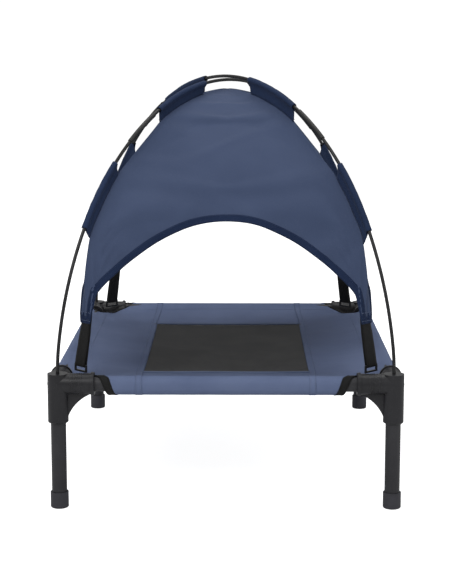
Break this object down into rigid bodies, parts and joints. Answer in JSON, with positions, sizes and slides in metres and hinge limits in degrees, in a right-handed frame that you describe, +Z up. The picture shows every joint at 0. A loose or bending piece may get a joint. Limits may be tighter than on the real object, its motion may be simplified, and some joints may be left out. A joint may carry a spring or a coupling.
{
  "type": "dog bed with frame",
  "caption": "Raised pet cot: steel tube frame with moulded corners, slung cloth bed with a mesh centre, and a lift-off dome canopy on crossed poles.",
  "frame": {"origin": "on the floor under the middle of the bed", "axes": "+Z up, +Y along the bed's length, away from the end shown in the picture, +X across the bed"},
  "size_m": [0.61, 0.767, 0.7282],
  "materials": {
    "steel_tube": "satin black powder coat",
    "foot_plastic": "matt",
    "connector_plastic": "fine moulded texture",
    "black_mesh": "open coated mesh",
    "bed_cloth": "coated woven polyester",
    "webbing": "woven webbing",
    "ring_plastic": "moulded",
    "cover_cloth": "thin woven polyester",
    "sleeve_cloth": "thin woven polyester",
    "pole_rod": "fibreglass",
    "pole_metal": "gloss black",
    "elastic": "elastic cord"
  },
  "bodies": {
    "frame": {"bed_sleeve_front": "bed_cloth", "bed_sleeve_left": "bed_cloth", "bed_sleeve_rear": "bed_cloth", "bed_sleeve_right": "bed_cloth", "corner_band_front_left": "webbing", "corner_band_front_right": "webbing", "corner_band_rear_left": "webbing", "corner_band_rear_right": "webbing", "corner_connector_front_left": "connector_plastic", "corner_connector_front_right": "connector_plastic", "corner_connector_rear_left": "connector_plastic", "corner_connector_rear_right": "connector_plastic", "end_panel_front": "bed_cloth", "end_panel_rear": "bed_cloth", "foot_cap_front_left": "foot_plastic", "foot_cap_front_right": "foot_plastic", "foot_cap_rear_left": "foot_plastic", "foot_cap_rear_right": "foot_plastic", "leg_tube_front_left": "steel_tube", "leg_tube_front_right": "steel_tube", "leg_tube_rear_left": "steel_tube", "leg_tube_rear_right": "steel_tube", "mesh_panel": "black_mesh", "rail_front": "steel_tube", "rail_left": "steel_tube", "rail_rear": "steel_tube", "rail_right": "steel_tube", "side_panel_left": "bed_cloth", "side_panel_right": "bed_cloth", "strap_ring_front_left": "ring_plastic", "strap_ring_front_right": "ring_plastic", "strap_ring_rear_left": "ring_plastic", "strap_ring_rear_right": "ring_plastic"},
    "canopy": {"canopy_panel_front": "cover_cloth", "canopy_panel_left": "cover_cloth", "canopy_panel_rear": "cover_cloth", "canopy_panel_right": "cover_cloth", "canopy_strap_front_left": "webbing", "canopy_strap_front_right": "webbing", "canopy_strap_rear_left": "webbing", "canopy_strap_rear_right": "webbing", "pole_ferrules": "pole_metal", "pole_lower_front_rod": "pole_rod", "pole_lower_low_sleeve_front": "sleeve_cloth", "pole_lower_low_sleeve_rear": "sleeve_cloth", "pole_lower_middle_rod": "pole_rod", "pole_lower_rear_rod": "pole_rod", "pole_lower_top_sleeve_front": "sleeve_cloth", "pole_lower_top_sleeve_rear": "sleeve_cloth", "pole_tips": "pole_metal", "pole_upper_front_rod": "pole_rod", "pole_upper_low_sleeve_front": "sleeve_cloth", "pole_upper_low_sleeve_rear": "sleeve_cloth", "pole_upper_middle_rod": "pole_rod", "pole_upper_rear_rod": "pole_rod", "pole_upper_top_sleeve_front": "sleeve_cloth", "pole_upper_top_sleeve_rear": "sleeve_cloth", "shock_cords": "elastic"}
  },
  "joints": [
    {"name": "canopy_lift", "type": "slide", "parent": "frame", "child": "canopy", "axis": [0, 0, 1], "range_m": [0, 0.08], "deforming": ["canopy_strap_front_left", "canopy_strap_front_right", "canopy_strap_rear_left", "canopy_strap_rear_right"]}
  ]
}
